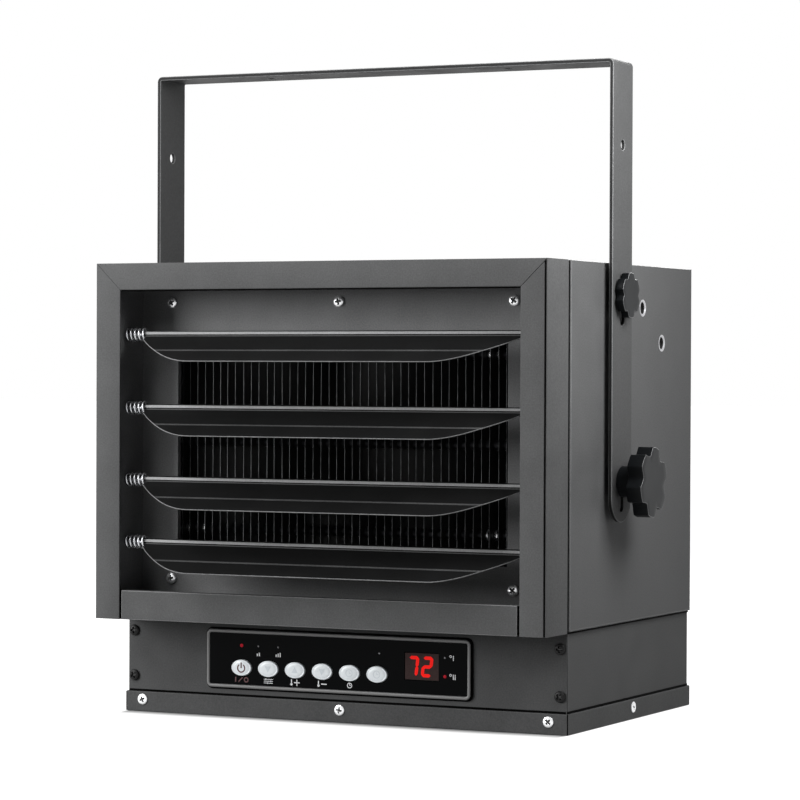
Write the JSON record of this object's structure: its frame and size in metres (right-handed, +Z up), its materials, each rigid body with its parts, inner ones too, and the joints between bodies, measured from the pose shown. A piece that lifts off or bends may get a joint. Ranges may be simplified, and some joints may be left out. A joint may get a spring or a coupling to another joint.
{
  "type": "fan heater",
  "caption": "ceiling mounted fan heater: louvred charcoal steel cabinet on a control box with buttons and a display, hung in a U-shaped strap bracket with knobs",
  "frame": {"origin": "middle of the bracket's ceiling face", "axes": "+Z up, out of the ceiling face; -Y is the front, where the air comes out; +X is the heater's right side seen from the front"},
  "size_m": [0.436, 0.3189, 0.49],
  "materials": {
    "powder_coat": "semi-matt charcoal powder coat",
    "black_coat": "satin black coat",
    "zinc": "bright zinc",
    "black_plastic": "fine-grained black",
    "gloss_black": "polished black",
    "white_plastic": "smooth white",
    "dark_steel": "dark coated steel",
    "bare_steel": "bare rolled steel",
    "fin_steel": "heat-darkened steel",
    "circuit": "green board",
    "cream_plastic": "cream moulding",
    "display_red": "dark red window"
  },
  "bodies": {
    "bracket": {"mounting_bracket": "powder_coat"},
    "carriage": {"pivot_washer_left": "black_plastic", "pivot_washer_right": "black_plastic", "lock_washer_left": "black_plastic", "lock_washer_right": "black_plastic"},
    "tilt_knob_left": {"tilt_knob_left": "black_plastic"},
    "tilt_knob_right": {"tilt_knob_right": "black_plastic"},
    "lock_knob_left": {"lock_knob_left": "black_plastic"},
    "lock_knob_right": {"lock_knob_right": "black_plastic"},
    "louver_1": {"louver_1": "black_coat"},
    "louver_2": {"louver_2": "black_coat"},
    "louver_3": {"louver_3": "black_coat"},
    "louver_4": {"louver_4": "black_coat"},
    "button_1": {"button_1": "white_plastic"},
    "button_2": {"button_2": "white_plastic"},
    "button_3": {"button_3": "white_plastic"},
    "button_4": {"button_4": "white_plastic"},
    "button_5": {"button_5": "white_plastic"},
    "button_6": {"button_6": "white_plastic"},
    "fan": {"fan_blade": "bare_steel"},
    "cabinet": {"back_panel": "powder_coat", "baffle_plate": "black_coat", "baffle_screw_1": "zinc", "baffle_screw_2": "zinc", "baffle_screw_3": "zinc", "baffle_screw_4": "zinc", "baffle_screw_5": "zinc", "base_pan": "powder_coat", "cabinet_shell": "powder_coat", "cable_gland": "black_plastic", "contactor": "black_plastic", "control_bezel": "gloss_black", "control_board": "circuit", "control_box": "powder_coat", "control_panel": "powder_coat", "display_module": "display_red", "element_plate_left": "bare_steel", "element_plate_right": "bare_steel", "fan_motor": "dark_steel", "fan_shroud": "dark_steel", "frame_bottom_bar": "powder_coat", "heating_element": "fin_steel", "louver_frame": "powder_coat", "louver_spring_1": "zinc", "louver_spring_2": "zinc", "louver_spring_3": "zinc", "louver_spring_4": "zinc", "motor_bracket": "dark_steel", "panel_screw_1": "black_coat", "panel_screw_2": "black_coat", "panel_screw_3": "black_coat", "panel_screw_4": "black_coat", "rear_guard": "black_coat", "shroud_ring": "dark_steel", "terminal_block": "cream_plastic", "thermal_cutout": "bare_steel", "tilt_insert_left_1": "zinc", "tilt_insert_left_2": "zinc", "tilt_insert_right_1": "zinc", "tilt_insert_right_2": "zinc"}
  },
  "joints": [
    {"name": "height_slide", "type": "slide", "parent": "bracket", "child": "carriage", "axis": [0, 0, 1], "range_m": [-0.0175, 0]},
    {"name": "tilt", "type": "hinge", "parent": "carriage", "child": "cabinet", "pos_m": [0, 0, -0.31], "axis": [1, 0, 0], "range_deg": [0, 43.2]},
    {"name": "tilt_knob_left_turn", "type": "hinge", "parent": "carriage", "child": "tilt_knob_left", "pos_m": [0, 0, -0.31], "axis": [-1, 0, 0], "range_deg": [0, 360]},
    {"name": "tilt_knob_right_turn", "type": "hinge", "parent": "carriage", "child": "tilt_knob_right", "pos_m": [0, 0, -0.31], "axis": [1, 0, 0], "range_deg": [0, 360]},
    {"name": "lock_knob_left_turn", "type": "hinge", "parent": "carriage", "child": "lock_knob_left", "pos_m": [0, 0, -0.173], "axis": [-1, 0, 0], "range_deg": [0, 360]},
    {"name": "lock_knob_right_turn", "type": "hinge", "parent": "carriage", "child": "lock_knob_right", "pos_m": [0, 0, -0.173], "axis": [1, 0, 0], "range_deg": [0, 360]},
    {"name": "louver_1_swing", "type": "hinge", "parent": "cabinet", "child": "louver_1", "pos_m": [0, -0.1056, -0.2027], "axis": [1, 0, 0], "range_deg": [-25, 36]},
    {"name": "louver_2_swing", "type": "hinge", "parent": "cabinet", "child": "louver_2", "pos_m": [0, -0.1056, -0.2577], "axis": [1, 0, 0], "range_deg": [-25, 36]},
    {"name": "louver_3_swing", "type": "hinge", "parent": "cabinet", "child": "louver_3", "pos_m": [0, -0.1056, -0.3118], "axis": [1, 0, 0], "range_deg": [-25, 36]},
    {"name": "louver_4_swing", "type": "hinge", "parent": "cabinet", "child": "louver_4", "pos_m": [0, -0.1056, -0.3588], "axis": [1, 0, 0], "range_deg": [-25, 36]},
    {"name": "fan_spin", "type": "hinge", "parent": "cabinet", "child": "fan", "pos_m": [0, 0, -0.28245], "axis": [0, 1, 0], "continuous": true},
    {"name": "button_1_press", "type": "slide", "parent": "cabinet", "child": "button_1", "axis": [0, 1, 0], "range_m": [0, 0.0005], "stiffness_N_per_m": 2000, "springref_m": -0.0003},
    {"name": "button_2_press", "type": "slide", "parent": "cabinet", "child": "button_2", "axis": [0, 1, 0], "range_m": [0, 0.0005], "stiffness_N_per_m": 2000, "springref_m": -0.0003},
    {"name": "button_3_press", "type": "slide", "parent": "cabinet", "child": "button_3", "axis": [0, 1, 0], "range_m": [0, 0.0005], "stiffness_N_per_m": 2000, "springref_m": -0.0003},
    {"name": "button_4_press", "type": "slide", "parent": "cabinet", "child": "button_4", "axis": [0, 1, 0], "range_m": [0, 0.0005], "stiffness_N_per_m": 2000, "springref_m": -0.0003},
    {"name": "button_5_press", "type": "slide", "parent": "cabinet", "child": "button_5", "axis": [0, 1, 0], "range_m": [0, 0.0005], "stiffness_N_per_m": 2000, "springref_m": -0.0003},
    {"name": "button_6_press", "type": "slide", "parent": "cabinet", "child": "button_6", "axis": [0, 1, 0], "range_m": [0, 0.0005], "stiffness_N_per_m": 2000, "springref_m": -0.0003}
  ]
}
